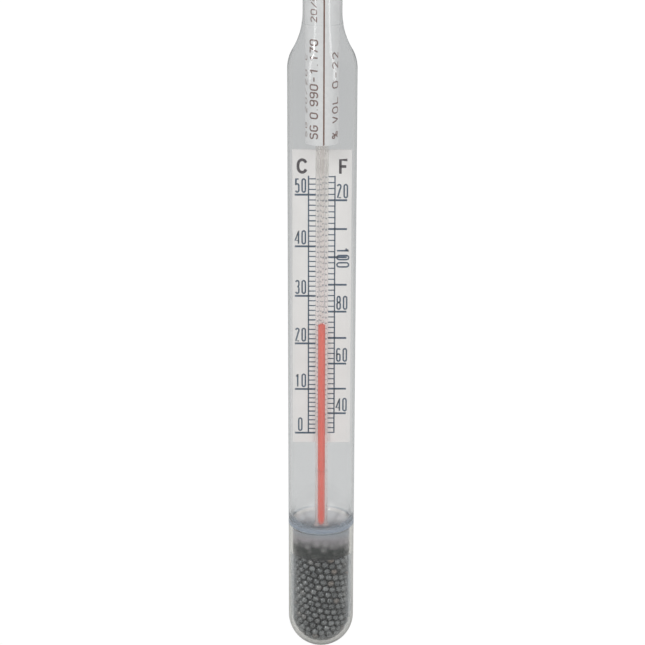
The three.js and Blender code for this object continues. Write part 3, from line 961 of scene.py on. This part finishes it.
def make_roll_print():
    heights, volumes = displaced_volume()
    mass = frame["record"]["physics"]["mass_kg"]

    def height_at(density):
        return float(np.interp(mass / (density * WATER_DENSITY), volumes, heights))

    def number(words, x, z):
        marks.text(words, x, z - NUMBER_HEIGHT / 2, 0.6 * MM, NUMBER_HEIGHT, 0.22 * MM, 0.2 * MM)

    marks = Print(roll_surface, 0.3 * MM)
    for k in range(91):
        thousandths = 990 + 2 * k
        z = height_at(thousandths / 1000)
        length = 2.6 if thousandths % 10 == 0 else 1.5
        marks.line([(RULE_X, z), (RULE_X - length * MM, z)], MARK_WEIGHT)
        if thousandths % 10 == 0:
            number(f"{thousandths / 1000:.3f}", -5.9 * MM, z)
    for k in range(45):
        percent = k / 2
        z = height_at(1 + percent / ALCOHOL_FACTOR)
        length = 2.2 if k % 2 == 0 else 1.2
        marks.line([(RULE_X, z), (RULE_X + length * MM, z)], MARK_WEIGHT)
        if k % 4 == 0:
            number(f"{percent:.0f}", 3.1 * MM, z)
    low = ROLL_LOW.z + 2 * MM
    marks.text("SG 0.990-1.170", -1.4 * MM, low, 1.5 * MM, 2.5 * MM, 0.8 * MM, 0.42 * MM, 1)
    marks.text("% VOL 0-22", 5.6 * MM, low, 1.7 * MM, 2.4 * MM, 1.1 * MM, 0.38 * MM, 1)
    marks.text("SG 20/20 C", -5.4 * MM, low, 1.5 * MM, 1.7 * MM, 1.2 * MM, 0.22 * MM, 1)
    marks.text("20/20 C", -1.7 * MM, low + 34 * MM, 1.4 * MM, 1.8 * MM, 0.7 * MM, 0.3 * MM, 1)
    marks.finish("scale_print", BROWN_INK, FLOAT)
    rule = Print(roll_surface, 4 * MM)
    rule.line([(RULE_X, ROLL_LOW.z + 0.1 * MM), (RULE_X, ROLL_HIGH.z - 1 * MM)], 0.42 * MM)
    rule.finish("scale_rule", RULE_INK, FLOAT)


def make_roll_glue():
    """A lumpy bead that bonds the top edge of the roll to the inside of the stem."""
    bm = bmesh.new()
    around, section = 72, 10
    outer_r = STEM_R - STEM_WALL - FUSE_GAP
    mid_z = ROLL_GLUE_LOW.z + 0.45 * MM
    rings = []
    for k in range(around):
        angle = 2 * math.pi * k / around
        thick = (0.3 + 0.06 * math.sin(3 * angle) + 0.04 * math.sin(7 * angle + 1)) * MM
        middle = outer_r - thick
        row = []
        for j in range(section):
            turn = 2 * math.pi * j / section
            radius = middle + thick * math.cos(turn)
            height = mid_z + 1.5 * thick * math.sin(turn)
            row.append(bm.verts.new((radius * math.cos(angle), radius * math.sin(angle), height)))
        rings.append(row)
    skin(bm, rings + rings[:1])
    piece = make_object("scale_glue_bead", bm, ADHESIVE, FLOAT, ["scale_glue"])


# ---------- thermometer ----------

def make_card():
    bm = bmesh.new()
    centre = (CARD_LOW + CARD_HIGH) / 2
    size = CARD_HIGH - CARD_LOW
    bmesh.ops.create_cube(bm, size=1)
    bmesh.ops.scale(bm, vec=size, verts=bm.verts)
    bmesh.ops.translate(bm, vec=centre, verts=bm.verts)
    bmesh.ops.bevel(bm, geom=bm.edges[:], offset=0.05 * MM, segments=2, affect="EDGES")
    piece = make_object("card_sheet", bm, CARD_STOCK, FLOAT, ["thermometer_card"])


def card_surface(x, y, lift):
    return (x, CARD_LOW.y - lift, y)


CELSIUS_RULE_X = -4.0 * MM
FAHRENHEIT_RULE_X = 3.83 * MM
UNDER_TUBE_X = 0.12 * MM         # ticks run in under the thermometer's tube to here
CELSIUS_TENS_X = -8.2 * MM       # the marks at the tens reach out to here
FAHRENHEIT_TENS_X = 7.5 * MM
CELSIUS_DIGITS_X = -7.9 * MM
FAHRENHEIT_DIGITS_X = 4.6 * MM
TEN_WEIGHT = 0.58 * MM
FIVE_WEIGHT = 0.42 * MM
ONE_WEIGHT = 0.34 * MM
DIGIT_WIDTH = 0.98 * MM
DIGIT_HEIGHT = 3.95 * MM
DIGIT_GAP = 1.0 * MM
DIGIT_LIFT = 0.8 * MM
DIGIT_WEIGHT = 0.46 * MM
FAHRENHEIT_LIFT = 0.12 * MM      # the right scale is printed a little high


def celsius_height(degrees):
    zero = CARD_LOW.z + ZERO_ABOVE_CARD
    return zero + DEGREE * degrees + DEGREE_GROWTH * degrees ** 2


def fahrenheit_height(degrees):
    return celsius_height((degrees - 32) / 1.8) + FAHRENHEIT_LIFT


def make_card_print():
    marks = Print(card_surface, 20 * MM)

    def number(words, x, z):
        marks.text(words, x, z + DIGIT_LIFT, DIGIT_WIDTH, DIGIT_HEIGHT, DIGIT_GAP, DIGIT_WEIGHT)

    for degrees in range(54):
        z = celsius_height(degrees)
        if degrees % 10 == 0:
            marks.line([(CELSIUS_TENS_X, z), (-UNDER_TUBE_X, z)], TEN_WEIGHT)
        else:
            weight = FIVE_WEIGHT if degrees % 5 == 0 else ONE_WEIGHT
            marks.line([(CELSIUS_RULE_X, z), (-UNDER_TUBE_X, z)], weight)
    for degrees in range(32, 129, 2):
        z = fahrenheit_height(degrees)
        if degrees % 10 == 0:
            marks.line([(UNDER_TUBE_X, z), (FAHRENHEIT_TENS_X, z)], TEN_WEIGHT)
        else:
            marks.line([(UNDER_TUBE_X, z), (FAHRENHEIT_RULE_X, z)], ONE_WEIGHT)
    top = celsius_height(53.3) + 0.45 * MM
    for x, weight in ((CELSIUS_RULE_X, 0.42), (FAHRENHEIT_RULE_X, 0.4)):
        marks.line([(x, celsius_height(0)), (x, top)], weight * MM)
    for degrees in (10, 20, 30, 40, 50):
        number(str(degrees), CELSIUS_DIGITS_X, celsius_height(degrees))
    number("0", -7.0 * MM, celsius_height(0))
    for degrees in (40, 60, 80):
        number(str(degrees), FAHRENHEIT_DIGITS_X, fahrenheit_height(degrees))
    number("20", FAHRENHEIT_DIGITS_X, fahrenheit_height(120))
    hundred = fahrenheit_height(100) + 2.8 * MM
    marks.text("100", 4.5 * MM, hundred, 1.3 * MM, 3.6 * MM, 0.95 * MM, DIGIT_WEIGHT, 3)
    marks.finish("card_print", BLUE_INK, FLOAT)
    letters = Print(card_surface, 20 * MM)
    letters_z = CARD_HIGH.z - 6.9 * MM
    letters.text("C", -7.15 * MM, letters_z, 2.5 * MM, 3.8 * MM, 0, 0.85 * MM, round_end=0.42)
    letters.text("F", 5.4 * MM, letters_z - 0.4 * MM, 2.1 * MM, 4.15 * MM, 0, 0.8 * MM)
    letters.finish("card_letters", DARK_INK, FLOAT)


def make_capillary():
    """The thermometer's upper glass, with the expansion chamber blown in its closed end."""
    outer_r = CAPILLARY_HIGH.x
    top_z = CAPILLARY_HIGH.z
    bottom_z = CAPILLARY_LOW.z
    chamber_top = top_z - CHAMBER_TOP
    chamber_foot = top_z - CHAMBER_FOOT
    inside = [(0, chamber_top), *arc(0, chamber_top - CHAMBER_R, CHAMBER_R, 90, 0)[1:]]
    for t in spread(0, 1, 8):
        radius = BORE_R + (CHAMBER_R - BORE_R) * (1 - t) ** 2
        inside.append((radius, chamber_foot - CHAMBER_NECK * t))
    inside.append((BORE_R, bottom_z))
    outside = [(outer_r, bottom_z), *arc(0, top_z - outer_r, outer_r, 0, 90)[:-1], (0, top_z)]
    glass = revolve(inside, outside, segments=64, coats=(INNER, OUTER))
    recoat(glass, OUTER, DISH, lambda at: at.y > 0)
    piece = make_object("capillary_glass", glass, THERMOMETER_GLASS, FLOAT, ["capillary_tube"])


def bore_share(t):
    """Share of the bore's radius at a share of the way up its tapered end."""
    return 1 - (1 - t) ** BORE_BLUNTNESS


def make_foot():
    """The lower glass of the thermometer. It flares onto the dish, and its bore ends in a point."""
    outer_r = CAPILLARY_HIGH.x
    foot_z = FOOT_LOW.z
    point_z = foot_z + BORE_END
    flare = []
    for t in spread(0, 1, 12):
        radius = outer_r + (FOOT_R - outer_r) * (1 - t) ** FOOT_CURVE
        flare.append((radius, foot_z + FOOT_HEIGHT * t))
    flare[0] = (FOOT_R, foot_z + dish_height(FOOT_R))
    joint_z = FOOT_HIGH.z + 0.5 * FUSE_GAP
    taper = [(BORE_R * bore_share(t), point_z + BORE_TAPER * t) for t in spread(1, 0, 10)]
    taper[-1] = (0, point_z)
    outside = [*flare, (outer_r, joint_z)]
    bore = [(BORE_R, joint_z), *taper]
    glass = revolve([(0, foot_z)], outside, bore, segments=64, coats=(SEAM, OUTER, INNER))
    recoat(glass, OUTER, DISH, lambda at: at.y > 0)
    piece = make_object("thermometer_foot", glass, FOOT_GLASS, FLOAT, ["thermometer_bulb"])


def make_spirit():
    point_z = FOOT_LOW.z + BORE_END
    taper = [(SPIRIT_R * bore_share(t), point_z + BORE_TAPER * t) for t in spread(0, 1, 10)]
    taper[0] = (0, point_z - 0.01 * MM)
    fill = [*taper, (SPIRIT_R, RESERVOIR_HIGH.z), (0, RESERVOIR_HIGH.z)]
    turned = revolve(fill, segments=SPIRIT_SEGMENTS)
    reservoir = make_object("spirit_fill", turned, RED_SPIRIT, FLOAT, ["spirit_reservoir"])
    low, high = RESERVOIR_HIGH.z, MENISCUS_LOW.z
    rod = [(0, low), *[(SPIRIT_R, z) for z in spread(low, high, 24)], (0, high)]
    turned = revolve(rod, segments=SPIRIT_SEGMENTS)
    column = make_object("spirit_thread", turned, RED_SPIRIT, None, ["spirit_column"])
    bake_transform(column)
    dip_r = (SPIRIT_R ** 2 + MENISCUS_DIP ** 2) / (2 * MENISCUS_DIP)
    dip_deg = math.degrees(math.asin(SPIRIT_R / dip_r))
    dip_z = MENISCUS_HIGH.z - MENISCUS_DIP
    bowl = arc(0, dip_z + dip_r, dip_r, dip_deg - 90, -90, 8)
    bowl[-1] = (0, dip_z)
    turned = revolve([(0, high), (SPIRIT_R, high), *bowl], segments=SPIRIT_SEGMENTS)
    meniscus = make_object("spirit_surface", turned, RED_SPIRIT, SPIRIT_TOP, ["spirit_meniscus"])


def finish_glue_dabs():
    for node in ("card_glue_upper", "card_glue_lower"):
        for material_slot in bpy.data.objects[node].material_slots:
            material_slot.material = ADHESIVE


# ---------- studio ----------

def white_to_camera(tree, surface, output):
    """Shows plain white where the camera looks straight at it, and surface to all other rays."""
    white = add_node(tree, "ShaderNodeEmission", Strength=1.02, Color=(1, 1, 1, 1))
    path = add_node(tree, "ShaderNodeLightPath")
    shown = mix_shaders(tree, path.outputs["Is Camera Ray"], surface, white.outputs["Emission"])
    tree.links.new(shown, output)


def make_floor():
    bm = bmesh.new()
    bmesh.ops.create_grid(bm, x_segments=1, y_segments=1, size=6)
    mesh = bpy.data.meshes.new("floor")
    bm.to_mesh(mesh)
    bm.free()
    plain = {"Roughness": 0.9, "Base Color": (0.9, 0.9, 0.895, 1)}
    material, tree, shader = new_material("floor", plain)
    white_to_camera(tree, shader.outputs["BSDF"], tree.nodes["Material Output"].inputs["Surface"])
    floor = place_mesh("floor", mesh, material, None)


def make_light(name, azimuth, distance, height, size, radiance, through_glass=False):
    """A soft upright lamp that faces the float. Azimuth 0 is in front of it and 90 is on its right."""
    data = bpy.data.lights.new(name, "AREA")
    data.shape = "RECTANGLE"
    data.size, data.size_y = size
    data.energy = radiance * math.pi * size[0] * size[1]
    lamp = bpy.data.objects.new(name, data)
    turn = math.radians(azimuth)
    lamp.location = (distance * math.sin(turn), -distance * math.cos(turn), height)
    lamp.rotation_euler = (math.radians(90), 0, turn)
    lamp.visible_camera = False
    lamp.visible_transmission = through_glass
    bpy.context.scene.collection.objects.link(lamp)


def make_studio():
    make_floor()
    world = bpy.data.worlds.new("studio")
    world.use_nodes = True
    tree = world.node_tree
    backdrop = tree.nodes["Background"]
    backdrop.inputs["Color"].default_value = (0.98, 0.99, 1, 1)
    backdrop.inputs["Strength"].default_value = 0.575
    white_to_camera(tree, backdrop.outputs["Background"], tree.nodes["World Output"].inputs["Surface"])
    bpy.context.scene.world = world
    bpy.context.scene.view_settings.view_transform = "Standard"
    for side, azimuth, glow in (("left", -41, 1.25), ("right", 40, 1.6)):
        make_light(f"glow_{side}", azimuth, 0.64, 0.45, (0.16, 0.78), glow)
        make_light(f"softbox_{side}", azimuth, 0.62, 0.43, (0.07, 0.74), 2.8)
    make_light("window_left", -41, 0.6, 0.62, (0.06, 0.2), 12, through_glass=True)


def make_camera():
    data = bpy.data.cameras.new("camera")
    data.sensor_width = SENSOR
    data.lens = SENSOR / 2 / math.tan(math.radians(CAMERA_HALF_ANGLE))
    data.clip_start = 0.01
    camera = bpy.data.objects.new("camera", data)
    tilt = math.radians(CAMERA_ELEVATION)
    back = Vector((0, -math.cos(tilt), math.sin(tilt)))
    camera.location = CAMERA_AIM + back * CAMERA_DISTANCE
    camera.rotation_euler = (-back).to_track_quat("-Z", "Y").to_euler()
    camera.rotation_euler.rotate_axis("Z", math.radians(CAMERA_ROLL))
    bpy.context.scene.collection.objects.link(camera)
    bpy.context.scene.camera = camera


make_camera()
make_studio()
make_stem()
make_body()
make_partition()
make_bulb()
make_shot()
make_seal()
make_roll()
make_roll_print()
make_roll_glue()
make_card()
make_card_print()
make_capillary()
make_foot()
make_spirit()
finish_glue_dabs()
